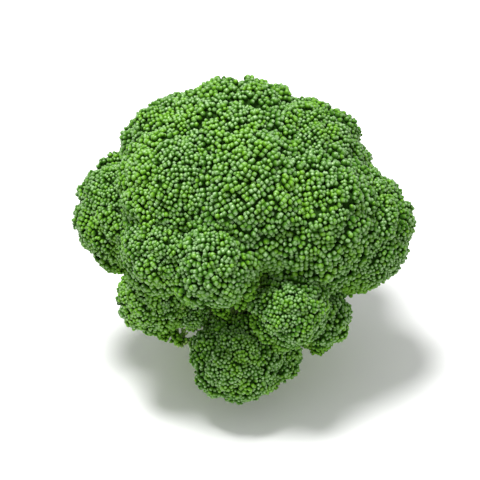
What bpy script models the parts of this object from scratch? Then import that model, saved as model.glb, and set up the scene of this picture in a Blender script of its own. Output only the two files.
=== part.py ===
"""A head of broccoli on its cut stalk: the stalk, a branch for each floret, and each floret's bud head.

Metres, +Z up, with the origin in the middle of the stalk's cut face. Every bud head is part of a ball.
Where two balls meet, a flat cut at their common circle parts them, and below its rim a head narrows like a
funnel to its neck, where its branch starts. Florets that leave the stalk at one height share a fork, and
their branches are parted there too.
"""

import math
from typing import NamedTuple

import bmesh
import bpy
from mathutils import Matrix, Vector

MM = 0.001
GAP = 0.3 * MM
HALF_GAP = GAP / 2

STALK_HEIGHT = 62 * MM
STALK_BASE_RADIUS = 20 * MM
STALK_WAIST_RADIUS = 18.5 * MM
STALK_KNOT_RADIUS = 20.5 * MM
STALK_TOP_RADIUS = 9 * MM
STALK_SIDES = 32

# Heights on the stalk where branches fork off.
CROWN_FORK = 52 * MM
SHOULDER_FORK = 38 * MM
SKIRT_FORK = 22 * MM
FOOT_FORK = 9 * MM

DOME_FUNNEL = math.radians(62)
SIDE_FUNNEL = math.radians(52)
WIDEST_FUNNEL = math.radians(84)
HEAD_MIDDLE = Vector((0, 0, 65 * MM))
SKIN_TURN = 0.3
DEEPEST_HEAD = 31 * MM
HEAD_DEPTH_IN_RADII = 1.42
HEAD_FACET = 7.5 * MM
FEWEST_HEAD_SIDES = 12
MOST_HEAD_SIDES = 22
FUNNEL_SIDES = 12
NECK_FLARE = 1.15
SURFACE_SAMPLES = 900
BRANCH_POINTS = 7


class Floret(NamedTuple):
    """A floret: its ball's middle and radius in mm, its fork, its branch's radius and its funnel's lean."""

    name: str
    x: float
    y: float
    z: float
    radius: float
    fork: float
    branch_radius: float
    funnel: float


FLORETS = (
    Floret("crown", -2, 12, 97, 46, CROWN_FORK, 8.0, DOME_FUNNEL),
    Floret("crown_back_left", -24, 13, 100, 36, CROWN_FORK, 5.5, DOME_FUNNEL),
    Floret("crown_back_right", 23, 12, 99.5, 36, CROWN_FORK, 6.0, DOME_FUNNEL),
    Floret("crown_left", -26, -10, 99, 34, CROWN_FORK, 6.5, DOME_FUNNEL),
    Floret("crown_front", 4, -14, 99, 38, CROWN_FORK, 7.0, DOME_FUNNEL),
    Floret("crown_right", 27, -13, 90, 38, CROWN_FORK, 7.0, DOME_FUNNEL),
    Floret("shoulder_left", -50, 2, 82, 29.5, SHOULDER_FORK, 7.0, SIDE_FUNNEL),
    Floret("shoulder_right", 48, -4, 78, 32, SHOULDER_FORK, 7.5, SIDE_FUNNEL),
    Floret("shoulder_front_left", -34, -33, 85, 23, SHOULDER_FORK, 4.2, SIDE_FUNNEL),
    Floret("shoulder_front", -12, -44, 87, 23, SHOULDER_FORK, 5.0, SIDE_FUNNEL),
    Floret("shoulder_back_left", -36, 36, 80, 27, SHOULDER_FORK, 6.0, SIDE_FUNNEL),
    Floret("shoulder_back", -2, 50, 78, 27, SHOULDER_FORK, 6.0, SIDE_FUNNEL),
    Floret("shoulder_back_right", 36, 36, 77, 28, SHOULDER_FORK, 6.0, SIDE_FUNNEL),
    Floret("skirt_front_left", -40.5, -33, 60, 19, SKIRT_FORK, 4.5, SIDE_FUNNEL),
    Floret("skirt_front_right", 21, -46, 63, 19.5, SKIRT_FORK, 4.0, SIDE_FUNNEL),
    Floret("skirt_right", 35, -30, 47, 17, SKIRT_FORK, 4.5, SIDE_FUNNEL),
    Floret("skirt_left", -44, 4, 43.5, 14, SKIRT_FORK, 4.0, SIDE_FUNNEL),
    Floret("skirt_back_left", -32, 33, 41, 16, SKIRT_FORK, 4.5, SIDE_FUNNEL),
    Floret("skirt_back", -3, 43, 36, 17, SKIRT_FORK, 4.5, SIDE_FUNNEL),
    Floret("skirt_back_right", 31, 33, 40, 16, SKIRT_FORK, 4.5, SIDE_FUNNEL),
    Floret("foot_front", -2, -42, 33, 23.5, FOOT_FORK, 5.0, SIDE_FUNNEL),
    Floret("foot_right", 15, -38, 30, 14, FOOT_FORK, 3.5, SIDE_FUNNEL),
    Floret("foot_left_sprig", -30, -30, 34, 5, FOOT_FORK, 2.0, SIDE_FUNNEL),
)


def new_collection(name):
    collection = bpy.data.collections.new(name)
    bpy.context.scene.collection.children.link(collection)
    return collection


def new_material(name, colour, roughness):
    material = bpy.data.materials.new(name)
    material.use_nodes = True
    shader = material.node_tree.nodes["Principled BSDF"]
    shader.inputs["Base Color"].default_value = (*colour, 1)
    shader.inputs["Roughness"].default_value = roughness
    shader.inputs["Metallic"].default_value = 0
    return material


def object_from_bmesh(shape, name, collection, material=None):
    bmesh.ops.recalc_face_normals(shape, faces=shape.faces)
    mesh = bpy.data.meshes.new(name)
    shape.to_mesh(mesh)
    shape.free()
    mesh.shade_smooth()
    mesh.set_sharp_from_angle(angle=math.radians(35))
    thing = bpy.data.objects.new(name, mesh)
    collection.objects.link(thing)
    if material:
        mesh.materials.append(material)
    return thing


def add_turned(name, profile, collection, material=None):
    """A solid turned about Z from (radius, height) points that run from its top to its bottom."""
    mesh = bpy.data.meshes.new(name)
    points = [(radius, 0, height) for radius, height in profile]
    edges = [(i, i + 1) for i in range(len(points) - 1)]
    mesh.from_pydata(points, edges, [])
    thing = bpy.data.objects.new(name, mesh)
    collection.objects.link(thing)
    if material:
        mesh.materials.append(material)
    turn = thing.modifiers.new("turn", "SCREW")
    turn.steps = STALK_SIDES
    turn.render_steps = STALK_SIDES
    turn.use_merge_vertices = True
    turn.merge_threshold = 0.00001
    return thing


def stalk_profile(grow):
    """Radius and height down the stalk, from its domed top to its cut face, all grown by one amount."""
    return (
        (0, STALK_HEIGHT + grow),
        (0.6 * STALK_TOP_RADIUS, STALK_HEIGHT - 1.5 * MM + grow),
        (STALK_TOP_RADIUS + grow, STALK_HEIGHT - 4 * MM + grow),
        (0.75 * STALK_KNOT_RADIUS + grow, STALK_HEIGHT - 11 * MM + grow),
        (STALK_KNOT_RADIUS + grow, 0.62 * STALK_HEIGHT),
        (STALK_WAIST_RADIUS + grow, 0.36 * STALK_HEIGHT),
        (STALK_BASE_RADIUS + grow, 0.08 * STALK_HEIGHT),
        (STALK_BASE_RADIUS + grow, 0.8 * MM),
        (STALK_BASE_RADIUS - 0.8 * MM + grow, -grow),
        (0, -grow),
    )


def middle_of(floret):
    return Vector((floret.x, floret.y, floret.z)) * MM


def fork_of(floret):
    return Vector((0, 0, floret.fork))


def ball_directions():
    """Directions spread evenly over a ball along a golden-angle spiral."""
    golden_angle = math.pi * (3 - math.sqrt(5))
    directions = []
    for i in range(SURFACE_SAMPLES):
        height = 1 - (2 * i + 1) / SURFACE_SAMPLES
        ring = math.sqrt(1 - height * height)
        turn = golden_angle * i
        directions.append(Vector((ring * math.cos(turn), ring * math.sin(turn), height)))
    return directions


def outer_skin(floret):
    """Points of a floret's ball that lie outside all other balls and face away from the head's middle."""
    balls = [(middle_of(other), other.radius * MM) for other in FLORETS if other is not floret]
    skin = []
    for direction in ball_directions():
        point = middle_of(floret) + floret.radius * MM * direction
        outward = direction.dot((point - HEAD_MIDDLE).normalized()) > SKIN_TURN
        if outward and all((point - middle).length > radius for middle, radius in balls):
            skin.append(point)
    return skin


def facing_of(floret, skin):
    """The way a floret faces: from its fork to the mean of its skin."""
    mean = sum(skin, Vector()) / len(skin)
    return (mean - fork_of(floret)).normalized()


def parting_planes(floret):
    """A point and a unit normal, pointing away from this floret, for each ball that meets its own."""
    planes = []
    for other in FLORETS:
        across = middle_of(other) - middle_of(floret)
        distance = across.length
        if other is floret or distance > (floret.radius + other.radius) * MM:
            continue
        away = across / distance
        squares = distance**2 + (floret.radius * MM) ** 2 - (other.radius * MM) ** 2
        reach = squares / (2 * distance) - HALF_GAP
        planes.append((middle_of(floret) + reach * away, away))
    return planes


def neck_of(floret, facing):
    """Where the head's funnel ends, on the line that runs from the fork the way the floret faces."""
    fork = fork_of(floret)
    radius = floret.radius * MM
    along = (middle_of(floret) - fork).dot(facing)
    offset = (middle_of(floret) - fork - along * facing).length
    outermost = along + math.sqrt(radius**2 - offset**2)
    depth = min(HEAD_DEPTH_IN_RADII * radius, DEEPEST_HEAD)
    room = (NECK_FLARE + 0.05) * floret.branch_radius * MM
    planes = parting_planes(floret)
    while depth > 0.3 * radius:
        neck = fork + (outermost - depth) * facing
        if all((point - neck).dot(away) > room for point, away in planes):
            break
        depth -= MM
    return neck


def keep_inside(shape, point, away):
    """Cuts a convex solid at a plane, keeps what is behind it and closes the cut."""
    geometry = shape.verts[:] + shape.edges[:] + shape.faces[:]
    cut = bmesh.ops.bisect_plane(
        shape, geom=geometry, dist=1e-7, plane_co=point, plane_no=away, clear_outer=True
    )
    rim = [item for item in cut["geom_cut"] if isinstance(item, bmesh.types.BMEdge)]
    if rim:
        bmesh.ops.contextual_create(shape, geom=rim)


def funnel_planes(floret, facing, neck, skin):
    """Planes round the neck that lean out as far as the floret's funnel, or as far as its skin reaches."""
    turned = facing.to_track_quat("Z", "Y").to_matrix()
    planes = [(neck, -facing)]
    for side in range(FUNNEL_SIDES):
        turn = 2 * math.pi * side / FUNNEL_SIDES
        outward = turned @ Vector((math.cos(turn), math.sin(turn), 0))
        edge = neck + NECK_FLARE * floret.branch_radius * MM * outward
        leans = [math.atan2((p - edge).dot(outward), (p - edge).dot(facing)) for p in skin]
        lean = min(max(floret.funnel, *leans), WIDEST_FUNNEL)
        planes.append((edge, math.cos(lean) * outward - math.sin(lean) * facing))
    return planes


def add_head(floret, planes, facing, collection, material):
    """A ball that faces one way, cut by the planes of its neighbours and by the sides of its funnel."""
    shape = bmesh.new()
    radius = floret.radius * MM
    sides = round(2 * math.pi * radius / HEAD_FACET)
    sides = min(max(sides, FEWEST_HEAD_SIDES), MOST_HEAD_SIDES)
    turned = facing.to_track_quat("Z", "Y").to_matrix().to_4x4()
    place = Matrix.Translation(middle_of(floret)) @ turned
    bmesh.ops.create_uvsphere(
        shape, u_segments=sides, v_segments=sides // 2 + 1, radius=radius, matrix=place
    )
    for point, away in planes:
        keep_inside(shape, point, away)
    bmesh.ops.remove_doubles(shape, verts=shape.verts, dist=0.02 * MM)
    return object_from_bmesh(shape, floret.name + "_buds", collection, material)


def add_branch(floret, facing, neck, siblings, collection, material, cutter):
    """A tapered tube from the fork to the neck, parted from the branches that share its fork."""
    fork = fork_of(floret)
    end = neck - GAP * facing
    curve = bpy.data.curves.new(floret.name + "_branch", "CURVE")
    curve.dimensions = "3D"
    curve.bevel_depth = floret.branch_radius * MM
    curve.bevel_resolution = 4
    curve.use_fill_caps = True
    spline = curve.splines.new("POLY")
    spline.points.add(BRANCH_POINTS - 1)
    for i, point in enumerate(spline.points):
        share = i / (BRANCH_POINTS - 1)
        point.co = (*fork.lerp(end, share), 1)
        point.radius = 1.2 - 0.9 * share + 0.8 * share**2
    tube = bpy.data.objects.new("tube", curve)
    collection.objects.link(tube)
    graph = bpy.context.evaluated_depsgraph_get()
    mesh = bpy.data.meshes.new_from_object(tube.evaluated_get(graph))
    shape = bmesh.new()
    shape.from_mesh(mesh)
    bpy.data.objects.remove(tube)
    bpy.data.meshes.remove(mesh)
    bmesh.ops.remove_doubles(shape, verts=shape.verts, dist=0.01 * MM)
    for other_facing in siblings:
        away = (other_facing - facing).normalized()
        keep_inside(shape, fork - HALF_GAP * away, away)
    branch = object_from_bmesh(shape, floret.name + "_branch", collection, material)
    trim = branch.modifiers.new("clear of the stalk", "BOOLEAN")
    trim.operation = "DIFFERENCE"
    trim.solver = "EXACT"
    trim.object = cutter
    return branch


def main():
    for thing in list(bpy.data.objects):
        bpy.data.objects.remove(thing)
    parts = new_collection("broccoli_head")
    cutters = new_collection("cutters")
    bud_green = new_material("bud green", (0.075, 0.165, 0.035), 0.55)
    branch_green = new_material("branch green", (0.33, 0.47, 0.15), 0.5)
    stalk_green = new_material("stalk green", (0.36, 0.48, 0.19), 0.5)

    add_turned("stalk", stalk_profile(0), parts, stalk_green)
    cutter = add_turned("stalk clearance", stalk_profile(GAP), cutters)
    cutter.hide_render = True
    cutter.display_type = "WIRE"

    skins = {floret.name: outer_skin(floret) for floret in FLORETS}
    facings = {floret.name: facing_of(floret, skins[floret.name]) for floret in FLORETS}
    for floret in FLORETS:
        facing = facings[floret.name]
        neck = neck_of(floret, facing)
        planes = funnel_planes(floret, facing, neck, skins[floret.name])
        planes += parting_planes(floret)
        siblings = [
            facings[other.name]
            for other in FLORETS
            if other is not floret and other.fork == floret.fork
        ]
        add_head(floret, planes, facing, parts, bud_green)
        add_branch(floret, facing, neck, siblings, parts, branch_green, cutter)


main()
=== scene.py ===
"""The looks of a head of broccoli: buds and their beds, branches, side shoots, the cut stalk, and a studio.

Lengths are in metres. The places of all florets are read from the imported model: each bud head there is part
of a ball, and each branch is a straight tapered tube that ends at its head's neck.
"""

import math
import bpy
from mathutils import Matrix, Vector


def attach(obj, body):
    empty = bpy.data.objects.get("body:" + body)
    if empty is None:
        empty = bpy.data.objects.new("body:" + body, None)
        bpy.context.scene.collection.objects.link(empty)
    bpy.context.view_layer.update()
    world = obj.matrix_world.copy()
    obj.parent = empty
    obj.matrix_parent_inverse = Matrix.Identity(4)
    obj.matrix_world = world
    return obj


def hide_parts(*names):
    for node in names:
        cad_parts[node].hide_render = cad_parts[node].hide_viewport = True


bl_info = {
    "name": "Broccoli head",
    "version": (1, 0, 0),
    "blender": (4, 5, 0),
    "location": "3D View > Sidebar > Broccoli",
    "description": "Grows buds, branches and a stalk round the packed solids of a head of broccoli",
    "category": "Add Mesh",
}

import bpy
import numpy as np

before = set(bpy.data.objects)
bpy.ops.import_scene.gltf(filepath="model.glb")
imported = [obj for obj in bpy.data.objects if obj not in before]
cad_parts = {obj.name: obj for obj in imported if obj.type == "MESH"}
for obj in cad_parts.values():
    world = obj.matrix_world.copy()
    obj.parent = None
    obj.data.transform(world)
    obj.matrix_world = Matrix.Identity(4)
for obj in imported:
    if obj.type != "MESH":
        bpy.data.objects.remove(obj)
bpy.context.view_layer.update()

MM = 0.001
UP = np.array([0.0, 0.0, 1.0])
GOLDEN_ANGLE = math.pi * (3 - math.sqrt(5))
# Area of one place among points spread one apart, each with six neighbours.
HEX_AREA = math.sqrt(3) / 2
HEAD_MIDDLE = np.array([0, 0, 65 * MM])

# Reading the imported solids: tries at a ball and how close its points lie, and depth of a branch's far ring.
BALL_TRIES = 400
BALL_FIT = 0.02 * MM
RING_DEPTH = 1.2 * MM

# Windows of the maps: left, low, right and high.
MAP_NAME = "OFBake"
WHOLE_MAP = (0.0, 0.0, 1.0, 1.0)
BED_WINDOW = (0.005, 0.005, 0.995, 0.17)
STEM_WINDOW = (0.0, 0.18, 1.0, 0.28)
BUD_WINDOW = (0.0, 0.28, 1.0, 1.0)
MAIN_WINDOW = (0.0, 0.0, 1.0, 0.3)
FAN_WINDOW = (0.0, 0.3, 1.0, 0.7)
TWIG_WINDOW = (0.0, 0.7, 1.0, 1.0)
STALK_WINDOW = (0.005, 0.005, 0.995, 0.995)
# Height of a floret's own map where its side shoots share the top.
MAIN_SHARE = 0.82

# A tube's ends are domes, this share of their ring's radius high.
TIP_DOME = 0.35

# Bud heads, with angles from the way that they face. Spreads are standard deviations.
PROUD = 0.5 * MM
RIM_ANGLE = math.radians(108)
RIM_BAND = math.radians(38)
RIM_LIP = math.radians(7)
STEM_ANGLE = math.radians(86)
SMALL_HEAD = 13 * MM
LOOSE_RADIUS = 7 * MM
TUFT_SHIFT = 0.17
TUFT_REACH = 1.1
LOBE_REACH = 0.95
TUFT_LIFT = 0.35 * MM
LOBE_LIFT = 0.9 * MM

# Buds: lengths and shifts are shares of a bud's width, and each range holds what its spread may reach.
BUD_SIDES = 8
# Up a bud: height as a share of its length, radius as a share of half its width, and its four sepals' relief.
BUD_RINGS = np.array([(0.10, 0.58, 0.0), (0.38, 1.0, 0.03), (0.72, 0.84, 0.09), (0.95, 0.38, 0.24)])
BUD_FILL = 1.04
BUD_DIMPLE = 0.91
BUD_GLOSS = 0.38
LOOSE_BUD_GAP = 1.6
BUD_SHIFT = 0.17
TUFT_PULL = 0.08
BUDS_MISSING = 0.015
SKIN_DEPTH = 0.8
INNER_SIDE = -0.45
BUD_TILT = 0.13
BUD_SPREAD = 0.12
BUD_RANGE = (0.7, 1.25)
LARGE_BUDS = 0.05
LARGE_BUD = 1.2
LENGTH_RANGE = (1.0, 1.7)
LIFT_SPREAD = 0.19
LIFT_RANGE = (-0.5, 0.3)
OVAL_SPREAD = 0.07
OVAL_RANGE = (-0.15, 0.15)
TONE = 0.45
TONE_SPREAD = 0.2
TUFT_TONE_SPREAD = 0.16
YELLOW_BUDS = 0.04
# Down the fine stem under a bud: steps along its axis, bends towards the neck and radii.
FINE_STEPS = np.array([0.25, -0.35, -1.1, -2.0, -2.9])
FINE_BENDS = np.array([0.0, 0.0, 0.15, 0.6, 1.3])
FINE_RADII = np.array([0.26, 0.17, 0.16, 0.19, 0.25])
FINE_ALONG = np.array([0.0, -0.2, -0.45, -0.7, -1.0])
FINE_SIDES = 5

# The bed under the buds, with depths in buds and the dish as a share of the ball's radius.
BED_DEPTH = 1.25
BED_SIDES = 96
BED_CAP_RINGS = 46
BED_DISH_RINGS = 8
BED_TOP = 0.03
DISH = 0.22
DISH_BOW = 0.06
UNDERSIDE_BLEND = 0.3

# Side shoots: places as shares of the branch, reach as a share of the head's radius.
SHOOT_PLACES = np.linspace(0.42, 0.9, 6)
SHOOT_LEAN = math.radians(48)
SHOOT_REACH = 0.42
SHOOT_STEM = 1.3 * MM
SHOOT_BUD = 0.85
SHOOT_RADII = (3.6 * MM, 5.4 * MM)
SHOOT_OVERLAP = 0.6
CLEAR_OF_STALK = 26 * MM
# A larger side shoot: the floret it leaves, its middle and its radius.
LARGE_SHOOTS = (("skirt_front_left", (-24 * MM, -35 * MM, 53 * MM), 10.5 * MM),)
LARGE_SHOOT_STEM = 2.5 * MM

# Branches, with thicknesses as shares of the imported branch's.
ROOT_DEPTH = 13 * MM
SPLIT_REACH = 0.62
STEM_RINGS = 22
STEM_SIDES = 20
STEM_SWAY = 0.5 * MM
FAN_SPACING = 13 * MM
FAN_RINGS = 10
FAN_SIDES = 8
FAN_TURN_SPREAD = 0.12
FAN_REACH = 0.84
FAN_THICKNESS = (0.36, 0.5)
LEAST_FAN = 0.8 * MM
TWIGS = 3
TWIG_RINGS = 6
TWIG_SIDES = 6
LEAST_TWIG = 0.55 * MM

STALK_SIDES = 116
STALK_RINGS = 70
CUT_RINGS = 14
# From the cut face's middle, where its ring of fibres fades in and out and where its rind begins.
RING_INSIDE = (11.5 * MM, 13.5 * MM)
RING_OUTSIDE = (17.5 * MM, 15.5 * MM)
CUT_EDGE = (16.5 * MM, 19.5 * MM)
FIBRE_HEIGHT = 0.12 * MM
FIBRE_RING = 0.72
FIBRE_BAND = 0.1
SKIN_INSET = 0.4 * MM
# Turn round the stalk, height, half width and half height of each leaf scar.
LEAF_SCARS = (
    (0.6, 14 * MM, 7 * MM, 3.2 * MM),
    (2.9, 20 * MM, 8 * MM, 3.6 * MM),
    (5.1, 26 * MM, 7 * MM, 3.2 * MM),
)
SCAR_LIP = 0.7 * MM
SCAR_SINK = 0.5 * MM

# Where the camera looks, and the places and widths of the two lights.
AIM = (-1.4 * MM, 0, 68 * MM)
KEY_PLACE = (-0.22, -0.03, 1.2)
KEY_WIDTH = 0.45
FRONT_PLACE = (0.35, -1.2, 0.55)
FRONT_WIDTH = 0.8

HEAD_NODES = sorted(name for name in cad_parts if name.endswith("_buds"))
FLORETS = [name.removesuffix("_buds") for name in HEAD_NODES]
# Bud widths of single florets, as shares of the middling width.
BUD_SCALE = {
    "crown": 1.10,
    "crown_front": 1.20,
    "crown_right": 1.14,
    "crown_left": 1.06,
    "shoulder_front": 1.14,
    "shoulder_left": 0.92,
    "shoulder_right": 0.96,
    "skirt_front_left": 0.9,
    "skirt_front_right": 0.92,
    "skirt_right": 0.88,
    "foot_front": 0.88,
    "foot_right": 0.82,
    "foot_left_sprig": 0.95,
}


# Vectors and places


def unit(vectors):
    """Each vector divided by its length."""
    return vectors / np.linalg.norm(vectors, axis=-1, keepdims=True)


def smooth(value):
    """Rises from 0 at 0 to 1 at 1 as 3x^2 - 2x^3, and is flat outside."""
    value = np.clip(value, 0, 1)
    return value * value * (3 - 2 * value)


def side_axes(axis):
    """Two unit vectors square to each axis and to each other.

    The first is Z crossed with the axis, or X crossed with it where the axis is near Z.
    """
    axis = np.asarray(axis, float)
    helper = np.where(np.abs(axis[..., 2:]) < 0.9, UP, np.array([1.0, 0.0, 0.0]))
    first = unit(np.cross(helper, axis))
    return first, np.cross(axis, first)


def node_points(name):
    """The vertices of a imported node, as an array."""
    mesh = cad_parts[name].data
    flat = np.empty(len(mesh.vertices) * 3)
    mesh.vertices.foreach_get("co", flat)
    return flat.reshape(-1, 3)


def ball_of(name):
    """The middle and radius of a bud head's ball: of many through four points, the one most points lie on.

    A ball through four points p solves 2 c.p + (r^2 - c.c) = p.p, linear in its middle c and in the bracket.
    """
    points = node_points(name)
    rng = np.random.default_rng(7)
    picks = points[rng.integers(0, len(points), (BALL_TRIES, 4))]
    rows = np.concatenate([2 * picks, np.ones((BALL_TRIES, 4, 1))], axis=2)
    sound = np.abs(np.linalg.det(rows)) > 1e-8
    answers = np.linalg.solve(rows[sound], (picks[sound] ** 2).sum(axis=2)[..., None])[..., 0]
    middles = answers[:, :3]
    radii = np.sqrt(np.maximum(answers[:, 3] + (middles**2).sum(axis=1), 0))
    gaps = np.abs(np.linalg.norm(points[None] - middles[:, None], axis=2) - radii[:, None])
    best = (gaps < BALL_FIT).sum(axis=1).argmax()
    return middles[best], radii[best]


def branch_of(name):
    """Where a branch starts, its neck, the way it points and its radius at the neck.

    The tube's far ring is flat. Its middle is the neck, and the direction square to it is the way.
    """
    points = np.unique(node_points(name).round(7), axis=0)
    middle = points.mean(axis=0)
    along = np.linalg.svd(points - middle, full_matrices=False)[2][0]
    along *= np.sign(along @ (middle - [0, 0, middle[2] / 2]))
    reach = (points - middle) @ along
    ring = points[reach > reach.max() - RING_DEPTH]
    neck = ring.mean(axis=0)
    way = np.linalg.svd(ring - neck, full_matrices=False)[2][2]
    way *= np.sign(way @ along)
    length = ((neck - points) @ way).max()
    return neck - length * way, neck, way, np.linalg.norm(ring - neck, axis=1).max()


BALLS = {name: ball_of(name + "_buds") for name in FLORETS}
BRANCHES = {name: branch_of(name + "_branch") for name in FLORETS}


# Meshes


class Surface:
    """Points, quads and triangles with a map corner for each corner, and numbers that the points carry."""

    def __init__(self, points, quads, triangles, quad_maps, triangle_maps, **marks):
        self.points = points.reshape(-1, 3)
        self.quads = quads.reshape(-1, 4)
        self.triangles = triangles.reshape(-1, 3)
        self.quad_maps = quad_maps.reshape(-1, 4, 2)
        self.triangle_maps = triangle_maps.reshape(-1, 3, 2)
        self.marks = {name: np.ravel(values) for name, values in marks.items()}

    def draw_into(self, window):
        """Draws the map into a window (left, low, right, high) of itself."""
        low, span = np.array(window[:2]), np.subtract(window[2:], window[:2])
        self.quad_maps = low + span * self.quad_maps
        self.triangle_maps = low + span * self.triangle_maps


def joined(surfaces):
    """One surface of several, whose faces count on from each other's points."""
    starts = np.cumsum([0] + [len(surface.points) for surface in surfaces[:-1]])
    whole = Surface(
        np.concatenate([surface.points for surface in surfaces]),
        np.concatenate([surface.quads + start for surface, start in zip(surfaces, starts)]),
        np.concatenate([surface.triangles + start for surface, start in zip(surfaces, starts)]),
        np.concatenate([surface.quad_maps for surface in surfaces]),
        np.concatenate([surface.triangle_maps for surface in surfaces]),
    )
    for name in surfaces[0].marks:
        whole.marks[name] = np.concatenate([surface.marks[name] for surface in surfaces])
    return whole


def add_piece(name, surface, material, nodes):
    """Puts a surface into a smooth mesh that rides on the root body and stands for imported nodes."""
    mesh = bpy.data.meshes.new(name)
    corners = np.concatenate([surface.quads.ravel(), surface.triangles.ravel()])
    quad_starts = 4 * np.arange(len(surface.quads))
    triangle_starts = 4 * len(surface.quads) + 3 * np.arange(len(surface.triangles))
    starts = np.concatenate([quad_starts, triangle_starts])
    mesh.vertices.add(len(surface.points))
    mesh.vertices.foreach_set("co", surface.points.ravel())
    mesh.loops.add(len(corners))
    mesh.loops.foreach_set("vertex_index", corners)
    mesh.polygons.add(len(starts))
    mesh.polygons.foreach_set("loop_start", starts)
    maps = np.concatenate([surface.quad_maps.ravel(), surface.triangle_maps.ravel()])
    mesh.uv_layers.new(name=MAP_NAME).data.foreach_set("uv", maps)
    for mark, values in surface.marks.items():
        mesh.attributes.new(mark, "FLOAT", "POINT").data.foreach_set("value", values)
    mesh.update(calc_edges=True)
    if mesh.validate():
        raise RuntimeError(f"{name} has faulty faces")
    mesh.shade_smooth()
    mesh.materials.append(material)
    piece = bpy.data.objects.new(name, mesh)
    bpy.context.scene.collection.objects.link(piece)
    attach(piece, "root")
    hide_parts(*nodes)


def closed_faces(count, rings, sides):
    """Quads and end triangles of many closed tubes. Each lists its rings' points, then its two end points.

    A ring runs anticlockwise as seen from the tube's far end, so all faces look out.
    """
    ring, side = np.meshgrid(np.arange(rings - 1), np.arange(sides), indexing="ij")
    beside = (side + 1) % sides
    low, high = ring * sides, (ring + 1) * sides
    quads = np.stack([low + side, low + beside, high + beside, high + side], axis=-1).reshape(-1, 4)
    around = np.arange(sides)
    beside = (around + 1) % sides
    pole = np.full(sides, rings * sides)
    top = (rings - 1) * sides
    near_end = np.stack([pole, beside, around], axis=-1)
    far_end = np.stack([pole + 1, top + around, top + beside], axis=-1)
    firsts = (rings * sides + 2) * np.arange(count)[:, None, None]
    return quads + firsts, np.concatenate([near_end, far_end]) + firsts


def corners_of(place, rings, sides):
    """Map corners of one tube's quads, where place(ring, side) says where a point lies on the map."""
    ring, side = np.meshgrid(np.arange(rings - 1), np.arange(sides), indexing="ij")
    corners = [place(ring, side), place(ring, side + 1), place(ring + 1, side + 1), place(ring + 1, side)]
    return np.stack(corners, axis=2).reshape(-1, 4, 2)


def strip_maps(rings, sides):
    """A tube laid out flat: turns run across, rings run up, and the end triangles are teeth at both edges."""

    def place(ring, side):
        return np.stack([side / sides, 0.06 + 0.88 * ring / (rings - 1)], axis=-1)

    side = np.arange(sides)
    first, last = np.zeros(sides), np.full(sides, rings - 1)
    near_tip = np.stack([(side + 0.5) / sides, np.zeros(sides)], axis=-1)
    far_tip = near_tip + [0, 1]
    near_end = np.stack([near_tip, place(first, side + 1), place(first, side)], axis=1)
    far_end = np.stack([far_tip, place(last, side), place(last, side + 1)], axis=1)
    return corners_of(place, rings, sides), np.concatenate([near_end, far_end])


def disc_maps(rings, sides):
    """A bud laid out as a disc: its tip in the middle, its rings round it, its base's triangles outside."""
    spread = np.linspace(0.44, 0.12, rings)

    def place(ring, side, out=None):
        turn = 2 * np.pi * side / sides
        reach = spread[ring] if out is None else out
        return 0.5 + reach[..., None] * np.stack([np.cos(turn), np.sin(turn)], axis=-1)

    side = np.arange(sides)
    first, last = np.zeros(sides, int), np.full(sides, rings - 1)
    base_tip = place(first, side + 0.5, np.full(sides, 0.49))
    near_end = np.stack([base_tip, place(first, side + 1), place(first, side)], axis=1)
    far_end = np.stack([np.full((sides, 2), 0.5), place(last, side), place(last, side + 1)], axis=1)
    return corners_of(place, rings, sides), np.concatenate([near_end, far_end])


def closed_tubes(skin, near_tips, far_tips, maps, windows, **marks):
    """Closed tubes from rings of points, (tubes, rings, sides, 3), and end points, each in its own window."""
    count, rings, sides = skin.shape[:3]
    points = np.concatenate([skin.reshape(count, -1, 3), near_tips[:, None], far_tips[:, None]], axis=1)
    quads, triangles = closed_faces(count, rings, sides)
    corner, span = windows[:, None, None, :2], (windows[:, 2:] - windows[:, :2])[:, None, None]
    carried = {}
    for name, values in marks.items():
        rows = np.broadcast_to(values, (count, rings))
        carried[name] = np.concatenate([np.repeat(rows, sides, axis=1), rows[:, :1], rows[:, -1:]], axis=1)
    return Surface(points, quads, triangles, corner + span * maps[0], corner + span * maps[1], **carried)


def add_tubes(paths, radii, sides, windows, ridges=0.0, ridge_count=5, **marks):
    """Closed tubes round many paths, (tubes, rings, 3), of the given radii, (tubes, rings).

    A ring's points are the path's point plus radius * (1 + ridges * cos(ridge_count * turn)) *
    (cos(turn) * first + sin(turn) * second), where first and second are square to the path there.
    """
    ways = unit(np.gradient(paths, axis=1))
    steady = side_axes(unit(ways.mean(axis=1, keepdims=True)))[0]
    first = unit(steady - (steady * ways).sum(axis=2, keepdims=True) * ways)
    second = np.cross(ways, first)
    turns = 2 * np.pi * np.arange(sides)[:, None] / sides
    spokes = np.cos(turns) * first[:, :, None] + np.sin(turns) * second[:, :, None]
    skin = paths[:, :, None] + radii[..., None, None] * (1 + ridges * np.cos(ridge_count * turns)) * spokes
    tips = radii[:, [0, -1], None] * ways[:, [0, -1]] * TIP_DOME
    maps = strip_maps(paths.shape[1], sides)
    return closed_tubes(skin, paths[:, 0] - tips[:, 0], paths[:, -1] + tips[:, 1], maps, windows, **marks)


def windows_in(window, count, inset=0.06):
    """Equal windows in a grid that fills one window (left, low, right, high), each drawn in by a share."""
    left, low, right, high = window
    columns = max(1, math.ceil(math.sqrt(count * (right - left) / (high - low))))
    rows = max(1, math.ceil(count / columns))
    wide, tall = (right - left) / columns, (high - low) / rows
    index = np.arange(count)
    x, y = left + wide * (index % columns), low + tall * (index // columns)
    edges = [x + inset * wide, y + inset * tall, x + (1 - inset) * wide, y + (1 - inset) * tall]
    return np.stack(edges, axis=-1)


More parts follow.
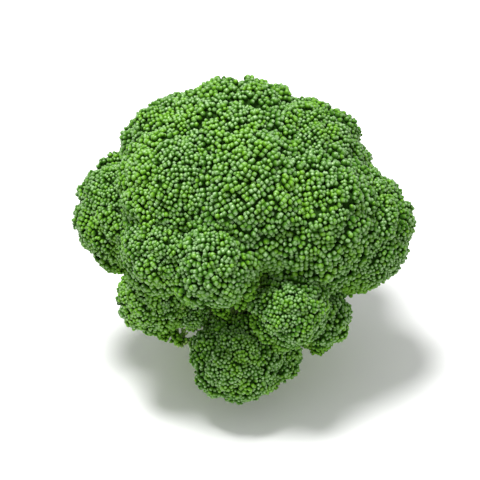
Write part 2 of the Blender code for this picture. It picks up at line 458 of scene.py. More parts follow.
def joined_apart(main, others):
    """One surface of a main group and smaller groups of surfaces, which share the top of the map."""
    if others:
        windows = windows_in((0.0, MAIN_SHARE, 1.0, 1.0), len(others))
        for group, window in zip([main, *others], [(0.0, 0.0, 1.0, MAIN_SHARE), *windows]):
            for surface in group:
                surface.draw_into(window)
    return joined([surface for group in [main, *others] for surface in group])


# Bud heads


def even_directions(count):
    """Directions spread evenly over a ball: heights fall evenly and each turns by the golden angle."""
    index = np.arange(count)
    height = 1 - (2 * index + 1) / count
    ring = np.sqrt(1 - height**2)
    return np.stack([ring * np.cos(GOLDEN_ANGLE * index), ring * np.sin(GOLDEN_ANGLE * index), height], -1)


def tuft_middles(radius, spacing, rng):
    """Directions of tuft middles, about one spacing apart on a ball, each shifted a little at random."""
    count = max(4, round(4 * np.pi * radius**2 / (HEX_AREA * spacing**2)))
    shifts = rng.normal(0, TUFT_SHIFT * spacing / radius, (count, 3))
    return unit(even_directions(count) + shifts)


def pillows(directions, middles, radius, spacing):
    """How directions lie among the tufts: the nearest tuft and x, from 0 on its border to 1 in its middle.

    x is the gap to the second nearest middle less the gap to the nearest, over the spacing.
    """
    gaps = radius * np.linalg.norm(directions[:, None] - middles[None], axis=2)
    nearest = gaps.argmin(axis=1)
    two = np.partition(gaps, 1, axis=1)[:, :2]
    return nearest, np.clip((two[:, 1] - two[:, 0]) / spacing, 0, 1)


class Head:
    """One bud head: its ball, the way it faces, its neck and the middles of its tufts and lobes."""

    def __init__(self, name, ball, branch, bud, seed, sizes):
        self.name = name
        self.middle, self.radius = ball[0], ball[1] + PROUD
        self.start, self.neck, self.way, self.branch_radius = branch
        self.rng = np.random.default_rng(seed)
        self.shoot_rng = np.random.default_rng(seed + 1000)
        self.bud = bud
        self.loose = self.radius < LOOSE_RADIUS
        self.tuft = min(sizes.tuft_width * math.sqrt(bud / sizes.bud_width), TUFT_REACH * self.radius)
        self.lobe = min(sizes.lobe_width, LOBE_REACH * self.radius)
        self.sizes = sizes
        self.tufts = tuft_middles(self.radius, self.tuft, self.rng)
        self.lobes = tuft_middles(self.radius, self.lobe, self.rng)
        self.tuft_lift = self.rng.normal(0, TUFT_LIFT, len(self.tufts))
        self.lobe_lift = self.rng.uniform(-LOBE_LIFT, LOBE_LIFT, len(self.lobes))

    def sink(self, directions):
        """How far the skin lies inside the ball.

        It is depth * (1 - x)^2 for tufts and depth * (1 - x)^4 for lobes, less each one's own lift away from
        its border. All of it shrinks with the radius on small heads.
        """
        nearest, tuft_x = pillows(directions, self.tufts, self.radius, self.tuft)
        lobe, lobe_x = pillows(directions, self.lobes, self.radius, self.lobe)
        tuft = self.sizes.tuft_depth * (1 - tuft_x) ** 2 - self.tuft_lift[nearest] * smooth(2 * tuft_x)
        large = self.sizes.lobe_depth * (1 - lobe_x) ** 4 - self.lobe_lift[lobe] * smooth(2 * lobe_x)
        return min(1.0, self.radius / SMALL_HEAD) * (tuft + large)

    def polar(self, directions):
        """The angle of each direction from the way the head faces."""
        return np.arccos(np.clip(directions @ self.way, -1, 1))

    def hides(self, points):
        """Whether each point lies under this head's skin, on the side of the rim where it has one."""
        offsets = points - self.middle
        gaps = np.linalg.norm(offsets, axis=1)
        hidden = gaps < self.radius
        near = np.flatnonzero(hidden)
        directions = unit(offsets[near] + 1e-9)
        depth = SKIN_DEPTH * self.bud + self.sink(directions)
        hidden[near] = (gaps[near] < self.radius - depth) & (self.polar(directions) < RIM_ANGLE)
        return hidden

    def buds(self, others):
        """Directions of buds, each one's tuft and its x there.

        They spread evenly over the ball, a bud's width apart or more on a loose head, each shifted a little
        at random and drawn part of the way to its tuft's middle. Those below the rim, those that another head
        hides and a few picked at random are left out.
        """
        gap = (LOOSE_BUD_GAP if self.loose else 1.0) * self.bud
        count = round(4 * np.pi * self.radius**2 / (HEX_AREA * gap**2))
        shifts = self.rng.normal(0, BUD_SHIFT * self.bud / self.radius, (count, 3))
        turned = np.linalg.qr(self.rng.normal(0, 1, (3, 3)))[0]
        directions = unit(even_directions(count) @ turned + shifts)
        own = pillows(directions, self.tufts, self.radius, self.tuft)[0]
        directions = unit(directions + TUFT_PULL * (self.tufts[own] - directions))
        stays = (self.polar(directions) < RIM_ANGLE) & (self.rng.random(count) > BUDS_MISSING)
        directions, own = directions[stays], own[stays]
        x = pillows(directions, self.tufts, self.radius, self.tuft)[1]
        depth = SKIN_DEPTH * self.bud + self.sink(directions)
        skin = self.middle + directions * (self.radius - depth)[:, None]
        stays = (directions * unit(skin - HEAD_MIDDLE)).sum(axis=1) > INNER_SIDE
        for other in others:
            if other.name != self.name:
                stays &= ~other.hides(skin)
        return directions[stays], own[stays], x[stays]

    def bud_surfaces(self, others):
        """The buds and, near the rim, the fine stems they stand on."""
        directions, own, x = self.buds(others)
        rng = self.rng
        count = len(directions)
        away = unit(directions - self.tufts[own] + 1e-9)
        slope = 4 * self.sizes.tuft_depth / self.tuft * (1 - x)
        axes = unit(directions + slope[:, None] * away + rng.normal(0, BUD_TILT, (count, 3)))
        size = rng.normal(1, BUD_SPREAD, count).clip(*BUD_RANGE)
        size *= np.where(rng.random(count) < LARGE_BUDS, LARGE_BUD, 1.0)
        widths = self.bud * BUD_FILL * size
        shares = rng.normal(self.sizes.bud_length, BUD_SPREAD, count)
        lengths = widths * shares.clip(*LENGTH_RANGE)
        lift = rng.normal(0, LIFT_SPREAD, count).clip(*LIFT_RANGE) * self.bud - lengths / 2
        hearts = self.middle + directions * (self.radius - self.sink(directions) + lift)[:, None]
        bases = hearts - axes * lengths[:, None] / 2
        first, second = side_axes(axes)
        oval = rng.normal(0, OVAL_SPREAD, count).clip(*OVAL_RANGE)[:, None]
        first, second = first * (1 + oval), second * (1 - oval)
        turns = 2 * np.pi * np.arange(BUD_SIDES) / BUD_SIDES
        ring = BUD_RINGS[:, 1, None] * (1 + BUD_RINGS[:, 2, None] * np.cos(4 * turns))
        spokes = np.cos(turns)[:, None] * first[:, None] + np.sin(turns)[:, None] * second[:, None]
        heights = lengths[:, None] * BUD_RINGS[:, 0]
        skin = bases[:, None, None] + heights[..., None, None] * axes[:, None, None]
        skin = skin + (widths[:, None, None] / 2 * ring)[..., None] * spokes[:, None]
        polar = self.polar(directions)
        rim = np.ones(count) if self.loose else smooth((polar - RIM_ANGLE + RIM_BAND) / RIM_BAND)
        tone = rng.normal(TONE, TONE_SPREAD, count)
        tone = np.clip(tone + rng.normal(0, TUFT_TONE_SPREAD, len(self.tufts))[own], 0, 1)
        tone[rng.random(count) < YELLOW_BUDS] = 1.0
        buds = closed_tubes(
            skin,
            bases,
            bases + axes * lengths[:, None] * BUD_DIMPLE,
            disc_maps(len(BUD_RINGS), BUD_SIDES),
            windows_in(BUD_WINDOW, count),
            along=BUD_RINGS[:, 0],
            tone=tone[:, None],
            rim=rim[:, None],
            bed=0.0,
        )
        low = np.full(count, True) if self.loose else polar > STEM_ANGLE
        if not low.any():
            return [buds]
        bases, axes = bases[low], axes[low]
        if self.loose:
            knots = self.neck + 0.35 * (bases - self.neck) * rng.uniform(0.2, 1.0, (len(bases), 1))
            tops, bends = bases + 0.25 * self.bud * axes, bases - 0.8 * self.bud * axes
            paths = curve_points(tops, bends, knots, len(FINE_ALONG))
        else:
            steps, bends = self.bud * FINE_STEPS[:, None], self.bud * FINE_BENDS[:, None]
            inward = unit(self.neck - bases)
            paths = bases[:, None] + steps * axes[:, None] + bends * inward[:, None]
        stems = add_tubes(
            paths,
            widths[low, None] * FINE_RADII,
            FINE_SIDES,
            windows_in(STEM_WINDOW, len(bases)),
            along=FINE_ALONG,
            tone=tone[low, None],
            rim=rim[low, None],
            bed=0.0,
        )
        return [buds, stems]

    def surfaces(self, others):
        """The buds and, unless the head is loose, the bed under them."""
        return self.bud_surfaces(others) + ([] if self.loose else [self.bed()])

    def bed(self):
        """The closed bed under the buds, which the bud material paints dark as shade: the ball's skin sunk
        under them, and a dished underside.

        From the rim's angle to the top the radius is the ball's less the bed's depth and the sink. Under the
        rim the points run to one below the ball's middle, bowed down by half a sine.
        """
        angles = np.linspace(RIM_ANGLE, BED_TOP, BED_CAP_RINGS)
        turns = 2 * np.pi * np.arange(BED_SIDES) / BED_SIDES
        first, second = side_axes(self.way)
        spokes = np.cos(turns)[:, None] * first + np.sin(turns)[:, None] * second
        directions = np.cos(angles)[:, None, None] * self.way + np.sin(angles)[:, None, None] * spokes
        sink = self.sink(directions.reshape(-1, 3)).reshape(directions.shape[:2])
        reach = self.radius - BED_DEPTH * self.bud - sink
        cap = self.middle + reach[..., None] * directions
        pole = self.middle - DISH * self.radius * self.way
        share = np.linspace(0.08, 1, BED_DISH_RINGS)[:, None, None]
        dish = pole + share * (cap[0] - pole) - np.sin(np.pi * share) * DISH_BOW * self.radius * self.way
        skin = np.concatenate([dish, cap])[None]
        edge = smooth((angles - RIM_ANGLE + UNDERSIDE_BLEND) / UNDERSIDE_BLEND)
        under = np.concatenate([np.ones(BED_DISH_RINGS), edge])
        return closed_tubes(
            skin,
            pole[None],
            (self.middle + (self.radius - BED_DEPTH * self.bud) * self.way)[None],
            strip_maps(skin.shape[1], BED_SIDES),
            np.array([BED_WINDOW]),
            along=under,
            tone=0.5,
            rim=0.0,
            bed=1.0,
        )

    def side_shoots(self):
        """Small loose heads on short stems that leave this head's branch under its canopy.

        Each leaves a golden angle round from the last, leaning from the way, where no other head is too near
        its middle. A loose head has none.
        """
        if self.loose:
            return []
        shoots = []
        first, second = side_axes(self.way)
        turn = self.shoot_rng.uniform(0, 2 * np.pi)
        for place in SHOOT_PLACES:
            turn += GOLDEN_ANGLE
            spoke = math.cos(turn) * first + math.sin(turn) * second
            way = math.cos(SHOOT_LEAN) * self.way + math.sin(SHOOT_LEAN) * spoke
            start = self.start + place * (self.neck - self.start)
            radius = self.shoot_rng.uniform(*SHOOT_RADII)
            reach = self.branch_radius + SHOOT_REACH * self.radius
            middle = start + reach * way
            far = min(np.linalg.norm(middle - ball[0]) - ball[1] for ball in BALLS.values())
            clear = far > -SHOOT_OVERLAP * radius and np.hypot(*middle[:2]) > CLEAR_OF_STALK
            if clear and reach > 2 * radius:
                shoots.append(self.shoot(start, way, middle, radius, SHOOT_STEM))
        for parent, middle, radius in LARGE_SHOOTS:
            if parent == self.name:
                start = self.start + 0.5 * (self.neck - self.start)
                way = unit(middle - start)
                shoots.append(self.shoot(start, way, np.array(middle), radius, LARGE_SHOOT_STEM))
        return shoots

    def shoot(self, start, way, middle, radius, stem_radius):
        """A small head on a stem from a point of this head's branch."""
        name = f"{self.name}_shoot"
        seed = int(self.shoot_rng.integers(10**6))
        branch = (start, middle - 0.9 * radius * way, way, stem_radius)
        return Head(name, (middle, radius), branch, SHOOT_BUD * self.bud, seed, self.sizes)

    def shoot_stem(self):
        """A side shoot's stem, which swells where it leaves its branch."""
        t = np.linspace(0, 1, 7)
        path = self.start + t[:, None] * (self.neck + 0.3 * self.radius * self.way - self.start)
        radii = self.branch_radius * (1.5 - 0.7 * smooth(t / 0.5))
        window = np.array([WHOLE_MAP])
        return add_tubes(path[None], radii[None], FAN_SIDES, window, along=(0.5 + 0.5 * t)[None])


# Branches and stalk


def curve_points(starts, bends, ends, rings):
    """Points along many quadratic curves: (1-t)^2 start + 2t(1-t) bend + t^2 end, for t from 0 to 1."""
    t = np.linspace(0, 1, rings)[:, None]
    return (1 - t) ** 2 * starts[:, None] + 2 * t * (1 - t) * bends[:, None] + t**2 * ends[:, None]


def stem_surfaces(head):
    """A branch from inside the stalk, its fan of branchlets, and twigs that end in the bed above them.

    The branch runs straight with half a sine of sway and swells towards the stalk. The fan's curves leave
    along the branch and end round the rim or halfway out to it. Twigs leave each outer one at its middle.
    """
    rng = np.random.default_rng(401 + FLORETS.index(head.name))
    way, radius, thick = head.way, head.radius, head.branch_radius
    length = np.linalg.norm(head.neck - head.start)
    split = head.neck - SPLIT_REACH * min(radius, length) * way
    root = head.start - ROOT_DEPTH * way
    pole = head.middle - 0.5 * DISH * radius * way
    first, second = side_axes(way)
    t = np.linspace(0, 1, STEM_RINGS)
    sway = np.sin(np.pi * t)[:, None] * (rng.normal(0, STEM_SWAY, 2) @ np.stack([first, second]))
    main = (root + t[:, None] * (split + 0.25 * (pole - split) - root) + sway)[None]
    swell = thick * (1.0 + 0.5 * (1 - smooth(t / 0.55)) + 0.12 * smooth((t - 0.6) / 0.3))
    swell *= 1 - 0.55 * smooth((t - 0.8) / 0.2)
    main_stem = add_tubes(main, swell[None], STEM_SIDES, np.array([MAIN_WINDOW]), 0.035, 5, along=0.35 * t)

    outer = max(5, round(2 * np.pi * radius / FAN_SPACING))
    inner = max(3, outer // 2)
    turns = np.concatenate([
        2 * np.pi * (np.arange(outer) + rng.normal(0, FAN_TURN_SPREAD, outer)) / outer,
        2 * np.pi * (np.arange(inner) + 0.5 + rng.normal(0, FAN_TURN_SPREAD, inner)) / inner,
    ])
    spokes = np.cos(turns)[:, None] * first + np.sin(turns)[:, None] * second
    low = RIM_ANGLE - RIM_LIP
    rim = head.middle + FAN_REACH * radius * (math.cos(low) * way + math.sin(low) * spokes)
    shares = np.concatenate([np.ones(outer), np.full(inner, 0.5)])[:, None]
    ends = pole + shares * (rim - pole) + (1 - shares) * 0.1 * radius * way
    lower = rng.uniform(-0.25, 0.45, outer + inner)[:, None]
    starts = split + lower * 0.3 * (pole - split) + 0.35 * thick * spokes
    bends = starts + way * 0.42 * np.linalg.norm(ends - starts, axis=1)[:, None] + 0.12 * (ends - starts)
    paths = curve_points(starts, bends, ends, FAN_RINGS)
    t = np.linspace(0, 1, FAN_RINGS)
    thickness = rng.uniform(*FAN_THICKNESS, outer + inner)[:, None] * thick
    radii = np.maximum(thickness * (1 - 0.5 * t), LEAST_FAN)
    windows = windows_in(FAN_WINDOW, outer + inner)
    fan = add_tubes(paths, radii, FAN_SIDES, windows, 0.04, 4, along=(0.35 + 0.45 * t)[None])

    knots = paths[:outer, FAN_RINGS * 5 // 9]
    side = np.cross(way, spokes[:outer])
    spread = (np.arange(TWIGS) - (TWIGS - 1) / 2) / TWIGS
    gap = 2 * np.pi * radius / outer
    twig_ends = ends[:outer, None] + gap * spread[:, None] * side[:, None] * 0.95
    twig_ends = twig_ends + rng.normal(0, 0.03 * radius, twig_ends.shape)
    twig_starts = np.repeat(knots, TWIGS, axis=0)
    twig_ends = twig_ends.reshape(-1, 3)
    twig_bends = twig_starts + 0.5 * (twig_ends - twig_starts) + 0.1 * radius * way
    t = np.linspace(0, 1, TWIG_RINGS)
    twigs = add_tubes(
        curve_points(twig_starts, twig_bends, twig_ends, TWIG_RINGS),
        np.maximum(np.repeat(radii[:outer, :1], TWIGS, axis=0) * (0.55 - 0.2 * t), LEAST_TWIG),
        TWIG_SIDES,
        windows_in(TWIG_WINDOW, outer * TWIGS),
        along=(0.65 + 0.35 * t)[None],
    )
    return [main_stem, fan, twigs]


def stalk_surface(sizes):
    """The stalk turned about Z from its cut face's middle, up its side, to its top, which the branches hide.

    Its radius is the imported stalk's at each height, plus sines for ribs and a slow waver, and a ridge round
    each leaf scar. The cut face is a shallow dish, and the ring of fibres in it stands a little proud.
    """
    points = np.unique(node_points("stalk").round(7), axis=0)
    heights = np.unique(points[:, 2].round(5))
    widest = [np.hypot(*points[np.abs(points[:, 2] - h) < 0.02 * MM, :2].T).max() for h in heights]
    base_radius = widest[0]
    turns = 2 * np.pi * np.arange(STALK_SIDES) / STALK_SIDES

    share = np.linspace(0.04, 1, CUT_RINGS)[:, None]
    fibres = FIBRE_HEIGHT * np.sin(23 * turns + 3 * np.sin(5 * turns))
    fibres = fibres * np.exp(-(((share - FIBRE_RING) / FIBRE_BAND) ** 2))
    face_radius = np.broadcast_to(share * base_radius, fibres.shape)
    face_height = sizes.cut_dish * (1 - share**2) + np.abs(fibres)

    height = np.linspace(heights[0] + SKIN_INSET, heights[-1] - SKIN_INSET / 2, STALK_RINGS)[:, None]
    wall = np.interp(height, heights, widest)
    away = smooth(height / (4 * MM))
    waver = 0.5 * MM * np.sin(2 * turns + 40 * height) + 0.35 * MM * np.sin(3 * turns - 70 * height + 1)
    ribs = 0.6 * np.cos(11 * turns + 18 * height) + 0.4 * np.cos(29 * turns - 25 * height)
    wall = wall + away * (waver + sizes.rib_height * ribs) - SKIN_INSET
    scars = np.zeros_like(wall)
    for turn, level, wide, tall in LEAF_SCARS:
        across = (np.mod(turns - turn + np.pi, 2 * np.pi) - np.pi) * base_radius / wide
        up = (height - level) / tall
        reach = np.sqrt(across**2 + (up + 0.35 * across**2) ** 2)
        wall = wall + SCAR_LIP * np.exp(-(((reach - 1) / 0.22) ** 2)) - SCAR_SINK * smooth(1.3 - reach)
        scars = np.maximum(scars, smooth((1.15 - reach) / 0.3))

    rings = np.concatenate([face_radius, wall])
    levels = np.concatenate([face_height, np.broadcast_to(height, wall.shape)])
    skin = np.stack([rings * np.cos(turns), rings * np.sin(turns), levels], axis=-1)[None]
    count = len(rings)
    surface = closed_tubes(
        skin,
        np.array([[0, 0, sizes.cut_dish]]),
        np.array([[0, 0, heights[-1]]]),
        strip_maps(count, STALK_SIDES),
        np.array([STALK_WINDOW]),
        cut=np.concatenate([np.ones(CUT_RINGS), np.zeros(STALK_RINGS)]),
    )
    flat_scars = np.concatenate([np.zeros_like(face_radius), scars]).ravel()
    surface.marks["scar"] = np.concatenate([flat_scars, [0, 0]])
    return surface


# Materials


class Shader:
    """Builds one material's nodes. Each method adds a node and gives back its output."""

    def __init__(self, name):
        self.material = bpy.data.materials.new(name)
        self.material.use_nodes = True
        self.tree = self.material.node_tree
        self.surface = self.tree.nodes["Principled BSDF"]
        self.places = self.add("ShaderNodeTexCoord").outputs["Object"]

    def add(self, kind, **settings):
        node = self.tree.nodes.new(kind)
        for name, value in settings.items():
            setattr(node, name, value)
        return node

    def feed(self, socket, value):
        if isinstance(value, bpy.types.NodeSocket):
            self.tree.links.new(value, socket)
        elif socket.type == "RGBA":
            socket.default_value = (*value, 1)
        else:
            socket.default_value = value

    def mark(self, name):
        return self.add("ShaderNodeAttribute", attribute_name=name).outputs["Fac"]

    def maths(self, operation, a, b=0.0, clamp=False):
        node = self.add("ShaderNodeMath", operation=operation, use_clamp=clamp)
        self.feed(node.inputs[0], a)
        self.feed(node.inputs[1], b)
        return node.outputs[0]

    def span(self, value, low, high, to_low=0.0, to_high=1.0):
        """A value taken from one range to another, held at its ends."""
        node = self.add("ShaderNodeMapRange", interpolation_type="SMOOTHSTEP")
        for socket, number in zip(node.inputs, (value, low, high, to_low, to_high)):
            self.feed(socket, number)
        return node.outputs[0]

    def mix(self, share, a, b, blend="MIX"):
        node = self.add("ShaderNodeMix", data_type="RGBA", blend_type=blend)
        self.feed(node.inputs["Factor"], share)
        self.feed(node.inputs["A"], a)
        self.feed(node.inputs["B"], b)
        return node.outputs["Result"]

    def noise(self, scale, detail=3.0, stretch=(1, 1, 1), roughness=0.5):
        mapping = self.add("ShaderNodeMapping")
        self.feed(mapping.inputs["Vector"], self.places)
        self.feed(mapping.inputs["Scale"], stretch)
        node = self.add("ShaderNodeTexNoise")
        self.feed(node.inputs["Vector"], mapping.outputs[0])
        self.feed(node.inputs["Scale"], scale)
        self.feed(node.inputs["Detail"], detail)
        self.feed(node.inputs["Roughness"], roughness)
        return node.outputs["Fac"]

    def bump(self, height, distance, strength=1.0):
        node = self.add("ShaderNodeBump")
        self.feed(node.inputs["Height"], height)
        self.feed(node.inputs["Distance"], distance)
        self.feed(node.inputs["Strength"], strength)
        self.feed(self.surface.inputs["Normal"], node.outputs[0])

    def finish(self, colour, roughness, **others):
        self.feed(self.surface.inputs["Base Color"], colour)
        self.feed(self.surface.inputs["Roughness"], roughness)
        for name, value in others.items():
            self.feed(self.surface.inputs[name.replace("_", " ")], value)
        return self.material


def bud_material(colours):
    """Waxy buds with painted shade at the foot and green sides, a pale bloom with a painted highlight on the
    tips except near rims, and a bed painted dark as shade.
    """
    shader = Shader("waxy buds")
    along, tone, rim, bed = (shader.mark(name) for name in ("along", "tone", "rim", "bed"))
    patch = shader.span(shader.noise(34, 2), 0.45, 0.66)
    fresh = shader.maths("ADD", shader.maths("MULTIPLY", patch, 0.35), shader.maths("MULTIPLY", tone, 0.9))
    fresh = shader.span(fresh, 0.35, 1.0)
    side = shader.mix(fresh, colours.bud_side, colours.bud_fresh)
    side = shader.mix(shader.maths("MULTIPLY", rim, 0.85), side, colours.bud_rim)
    # Painted shade: each bud darkens towards its foot, where shade falls between the buds.
    low = shader.mix(shader.span(along, 0.35, 0.85), colours.bud_foot_shade, side)
    # The pale tips are the buds' waxy bloom and a painted highlight in one; rims get less of it.
    cloud = shader.span(shader.noise(620, 2), 0.35, 0.62, 0.3, 1.0)
    bloom = shader.maths("MULTIPLY", shader.span(along, 0.7, 1.0), cloud)
    bloom = shader.maths("MULTIPLY", bloom, shader.span(tone, 0.0, 1.0, 0.95, 0.5))
    matt = shader.span(rim, 0.0, 1.0, 1.0, 0.3)
    bud = shader.mix(shader.maths("MULTIPLY", bloom, matt), low, colours.bud_bloom_and_highlight)
    stem = shader.mix(shader.span(along, -1.0, 0.0), colours.stem_fresh, colours.bud_rim)
    bud = shader.mix(shader.span(along, -0.05, 0.02), stem, bud)
    # Painted shade: the bed's top is coloured dark where shade falls between the buds, and its underside
    # takes random patches of the same dark.
    under = shader.mix(shader.span(shader.noise(260, 3), 0.35, 0.7), colours.bed_under, colours.bed_shade)
    bed_shade_and_underside = shader.mix(along, colours.bed_shade, under)
    colour = shader.mix(bed, bud, bed_shade_and_underside)
    grain = shader.noise(1500, 3)
    shader.bump(grain, 0.05 * MM, 0.6)
    waxy = shader.maths("SUBTRACT", matt, bed, True)
    waxy = shader.maths("MULTIPLY", shader.span(along, 0.5, 0.95), waxy)
    waxy = shader.maths("MULTIPLY", waxy, shader.span(grain, 0.3, 0.7, 0.65, 0.5))
    roughness = shader.maths("SUBTRACT", 0.85, waxy)
    shine = tuple(colours.bud_shine)
    return shader.finish(colour, roughness, Specular_IOR_Level=BUD_GLOSS, Specular_Tint=shine)


def stem_material(colours):
    """Pale green stems that turn fresher towards the buds, with fine long streaks and a faint bloom."""
    shader = Shader("stem skin")
    along = shader.mark("along")
    streaks = shader.noise(420, 3, (1, 1, 0.18))
    cloud = shader.noise(60, 3)
    colour = shader.mix(shader.span(along, 0.2, 1.0), colours.stem_pale, colours.stem_fresh)
    colour = shader.mix(shader.span(streaks, 0.35, 0.7, 0.0, 0.45), colour, colours.stem_streak)
    colour = shader.mix(shader.span(cloud, 0.45, 0.75, 0.0, 0.35), colour, colours.stem_bloom)
    shader.bump(streaks, 0.12 * MM, 0.7)
    return shader.finish(colour, shader.span(cloud, 0.3, 0.7, 0.38, 0.55), IOR=1.42)


def stalk_material(colours):
    """The stalk's skin with long streaks and pale leaf scars, and its moist cut face and ring of fibres."""
    shader = Shader("stalk skin and cut")
    cut, scar = shader.mark("cut"), shader.mark("scar")
    streaks = shader.noise(380, 4, (1, 1, 0.12))
    cloud = shader.noise(45, 3)
    skin = shader.mix(shader.span(cloud, 0.35, 0.7), colours.stem_pale, colours.stem_bloom)
    skin = shader.mix(shader.span(streaks, 0.4, 0.7, 0.0, 0.6), skin, colours.stem_streak)
    skin = shader.mix(shader.maths("MULTIPLY", scar, 0.75), skin, colours.scar)
    apart = shader.add("ShaderNodeSeparateXYZ")
    shader.feed(apart.inputs[0], shader.places)
    x, y = apart.outputs[0], apart.outputs[1]
    squares = shader.maths("ADD", shader.maths("MULTIPLY", x, x), shader.maths("MULTIPLY", y, y))
    reach = shader.maths("SQRT", squares)
    ring = shader.maths("MULTIPLY", shader.span(reach, *RING_INSIDE), shader.span(reach, *RING_OUTSIDE))
    dots = shader.span(shader.noise(900, 2), 0.45, 0.6)
    face = shader.mix(shader.span(shader.noise(300, 3), 0.3, 0.75), colours.cut_pith, colours.cut_moist)
    face = shader.mix(shader.maths("MULTIPLY", ring, dots), face, colours.cut_fibre)
    face = shader.mix(shader.span(reach, *CUT_EDGE), face, colours.stem_streak)
    colour = shader.mix(cut, skin, face)
    shader.bump(streaks, 0.2 * MM, 0.8)
    rough = shader.mix(cut, (0.5, 0.5, 0.5), (0.34, 0.34, 0.34))
    return shader.finish(colour, rough, IOR=1.42)


# The add-on


def length(name, description, default, low=0.0, high=0.2):
    return bpy.props.FloatProperty(
        name=name, description=description, default=default, min=low, max=high, precision=5, unit="LENGTH"
    )


def colour(name, description, default):
    return bpy.props.FloatVectorProperty(
        name=name, description=description, default=default, min=0, max=1, size=3, subtype="COLOR"
    )


def power(name, description, default):
    return bpy.props.FloatProperty(name=name, description=description, default=default, unit="POWER")


class BroccoliSizes(bpy.types.PropertyGroup):
    """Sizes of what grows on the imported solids."""

    bud_width: length("Bud width", "Width of a middling bud", 2.15 * MM)
    bud_length: bpy.props.FloatProperty(
        name="Bud length", description="A bud's length as a share of its width", default=1.3, min=1, max=2
    )
    tuft_width: length("Tuft width", "Width of a tuft of buds that share one fine stem", 9.5 * MM)
    tuft_depth: length("Tuft depth", "How far buds sink between tufts", 1.7 * MM)
    lobe_width: length("Lobe width", "Width of a lobe of several tufts", 23 * MM)
    lobe_depth: length("Lobe depth", "How far tufts sink between lobes", 3.4 * MM)
    cut_dish: length("Cut dish", "Height of the dish in the stalk's cut face", 0.7 * MM)
    rib_height: length("Rib height", "Height of the ribs along the stalk", 0.3 * MM)


class BroccoliColours(bpy.types.PropertyGroup):
    """Colours of the buds, stems and stalk."""

    bud_side: colour("Bud side", "Sides of the darker buds", (0.044, 0.160, 0.004))
    bud_fresh: colour("Fresh bud", "Sides of the fresher buds", (0.115, 0.310, 0.003))
    bud_rim: colour("Rim bud", "Buds round a floret's rim", (0.110, 0.290, 0.003))
    # Painted shade at the foot of each bud, where it sits in its bed.
    bud_foot_shade: colour("Bud base", "Where a bud sits in its bed", (0.010, 0.060, 0.001))
    # Waxy bloom on the bud tips, with a painted highlight in it.
    bud_bloom_and_highlight: colour("Bud bloom", "Waxy bloom on the tips", (0.325, 0.490, 0.250))
    # Painted shade: the bed under the buds is coloured dark.
    bed_shade: colour("Bed", "What lies under the buds", (0.008, 0.042, 0.001))
    bud_shine: colour("Bud shine", "Tint of what the buds reflect", (0.80, 1.0, 0.45))
    bed_under: colour("Bed underside", "The underside of a floret", (0.110, 0.190, 0.030))
    stem_pale: colour("Pale stem", "Thick stems and the stalk", (0.330, 0.460, 0.160))
    stem_fresh: colour("Fresh stem", "Thin stems near the buds", (0.250, 0.420, 0.060))
    stem_streak: colour("Stem streak", "Darker streaks in the skin", (0.170, 0.310, 0.060))
    stem_bloom: colour("Stem bloom", "Waxy bloom on the skin", (0.420, 0.520, 0.300))
    scar: colour("Leaf scar", "Where leaves were cut off", (0.430, 0.510, 0.240))
    cut_pith: colour("Cut pith", "Middle of the cut face", (0.620, 0.690, 0.400))
    cut_moist: colour("Moist cut", "Moister parts of the cut face", (0.480, 0.590, 0.270))
    cut_fibre: colour("Cut fibre", "Fibres in the cut face", (0.740, 0.760, 0.540))


class BroccoliStage(bpy.types.PropertyGroup):
    """The studio."""

    view_height: bpy.props.FloatProperty(
        name="View height",
        description="Angle of the camera above level",
        default=math.radians(35),
        subtype="ANGLE",
    )
    view_distance: length("View distance", "From the camera to what it looks at", 1.1, 0.1, 10)
    view_width: length("View width", "Width of the picture at that distance", 0.2246, 0.01, 10)
    floor_side: length("Floor side", "Side of the square floor", 8.0, 0.5, 50)
    floor_colour: colour("Floor", "The floor's colour", (0.94, 0.94, 0.94))
    sky_strength: bpy.props.FloatProperty(
        name="Sky", description="Strength of the light all round", default=0.62
    )
    key_power: power("Key", "Power of the large light overhead", 19)
    front_power: power("Front", "Power of the light in front", 1.2)


def sizes():
    return bpy.context.scene.broccoli_sizes


def heads():
    """The head of every floret that was packed."""
    made = []
    for seed, name in enumerate(FLORETS):
        bud = sizes().bud_width * BUD_SCALE.get(name, 1.0)
        made.append(Head(name, BALLS[name], BRANCHES[name], bud, 101 + seed, sizes()))
    return made


class BROCCOLI_OT_add_bud_heads(bpy.types.Operator):
    """Add each floret's bed and buds in place of its packed head"""

    bl_idname = "broccoli.add_bud_heads"
    bl_label = "Add bud heads"

    def execute(self, context):
        material = bud_material(context.scene.broccoli_colours)
        every = heads()
        for head in every:
            shoots = [shoot.surfaces(every) for shoot in head.side_shoots()]
            surface = joined_apart(head.surfaces(every), shoots)
            add_piece(head.name + "_bud_cluster", surface, material, [head.name + "_buds"])
        return {"FINISHED"}


class BROCCOLI_OT_add_branches(bpy.types.Operator):
    """Add each floret's branch and its fan of thin stems in place of its packed branch"""

    bl_idname = "broccoli.add_branches"
    bl_label = "Add branches"

    def execute(self, context):
        material = stem_material(context.scene.broccoli_colours)
        for head in heads():
            shoots = [[shoot.shoot_stem()] for shoot in head.side_shoots()]
            surface = joined_apart(stem_surfaces(head), shoots)
            add_piece(head.name + "_stems", surface, material, [head.name + "_branch"])
        return {"FINISHED"}


class BROCCOLI_OT_add_stalk(bpy.types.Operator):
    """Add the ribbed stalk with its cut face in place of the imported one"""

    bl_idname = "broccoli.add_stalk"
    bl_label = "Add stalk"

    def execute(self, context):
        material = stalk_material(context.scene.broccoli_colours)
        add_piece("stalk_skin", stalk_surface(sizes()), material, ["stalk"])
        return {"FINISHED"}


def add_light(name, place, power, width):
    """A round lamp of a width, pointed where the camera looks."""
    data = bpy.data.lights.new(name, "AREA")
    data.energy = power
    data.shape = "DISK"
    data.size = width
    light = bpy.data.objects.new(name, data)
    bpy.context.scene.collection.objects.link(light)
    point_at(light, place, AIM)


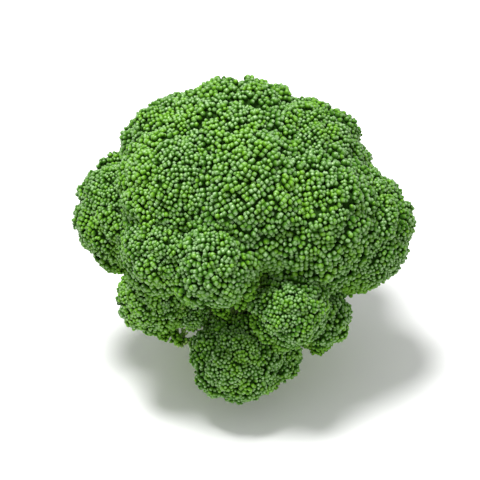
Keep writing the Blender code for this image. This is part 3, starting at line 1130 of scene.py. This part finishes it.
def point_at(thing, place, aim):
    """Puts a camera or light somewhere and turns its -Z axis towards a point."""
    way = Vector(aim) - Vector(place)
    thing.location = place
    thing.rotation_mode = "QUATERNION"
    thing.rotation_quaternion = way.to_track_quat("-Z", "Y")


class BROCCOLI_OT_set_stage(bpy.types.Operator):
    """Set up the pale floor, the soft lights and the camera"""

    bl_idname = "broccoli.set_stage"
    bl_label = "Set the stage"

    def execute(self, context):
        stage = context.scene.broccoli_stage
        half = stage.floor_side / 2
        mesh = bpy.data.meshes.new("floor")
        corners = [(-half, -half, 0), (half, -half, 0), (half, half, 0), (-half, half, 0)]
        mesh.from_pydata(corners, [], [(0, 1, 2, 3)])
        floor = bpy.data.objects.new("floor", mesh)
        context.scene.collection.objects.link(floor)
        shader = Shader("pale floor")
        mesh.materials.append(shader.finish(tuple(stage.floor_colour), 0.9))

        world = bpy.data.worlds.new("studio")
        world.use_nodes = True
        sky = world.node_tree.nodes["Background"]
        sky.inputs["Color"].default_value = (1, 1, 1, 1)
        sky.inputs["Strength"].default_value = stage.sky_strength
        context.scene.world = world
        context.scene.view_settings.view_transform = "Standard"

        add_light("key", KEY_PLACE, stage.key_power, KEY_WIDTH)
        add_light("front", FRONT_PLACE, stage.front_power, FRONT_WIDTH)

        camera_data = bpy.data.cameras.new("camera")
        camera_data.lens = camera_data.sensor_width * stage.view_distance / stage.view_width
        camera_data.clip_start = 0.01
        camera = bpy.data.objects.new("camera", camera_data)
        context.scene.collection.objects.link(camera)
        back = np.array([0, -math.cos(stage.view_height), math.sin(stage.view_height)])
        point_at(camera, tuple(np.array(AIM) + stage.view_distance * back), AIM)
        context.scene.camera = camera
        return {"FINISHED"}


class BROCCOLI_PT_panel(bpy.types.Panel):
    """Lists the sizes, the colours and the steps"""

    bl_label = "Broccoli head"
    bl_idname = "BROCCOLI_PT_panel"
    bl_space_type = "VIEW_3D"
    bl_region_type = "UI"
    bl_category = "Broccoli"

    def draw(self, context):
        for step in STEPS:
            self.layout.operator(step.bl_idname)
        for group, kind in GROUPS.items():
            box = self.layout.box()
            for name in kind.__annotations__:
                box.prop(getattr(context.scene, group), name)


STEPS = (
    BROCCOLI_OT_set_stage,
    BROCCOLI_OT_add_stalk,
    BROCCOLI_OT_add_branches,
    BROCCOLI_OT_add_bud_heads,
)
GROUPS = {
    "broccoli_sizes": BroccoliSizes,
    "broccoli_colours": BroccoliColours,
    "broccoli_stage": BroccoliStage,
}


def register():
    for kind in (*GROUPS.values(), *STEPS, BROCCOLI_PT_panel):
        bpy.utils.register_class(kind)
    for name, kind in GROUPS.items():
        setattr(bpy.types.Scene, name, bpy.props.PointerProperty(type=kind))


def unregister():
    for name in GROUPS:
        delattr(bpy.types.Scene, name)
    for kind in (BROCCOLI_PT_panel, *reversed(STEPS), *GROUPS.values()):
        bpy.utils.unregister_class(kind)


def main():
    register()
    bpy.ops.broccoli.set_stage()
    bpy.ops.broccoli.add_stalk()
    bpy.ops.broccoli.add_branches()
    bpy.ops.broccoli.add_bud_heads()
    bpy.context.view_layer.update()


if __name__ == "__main__":
    main()
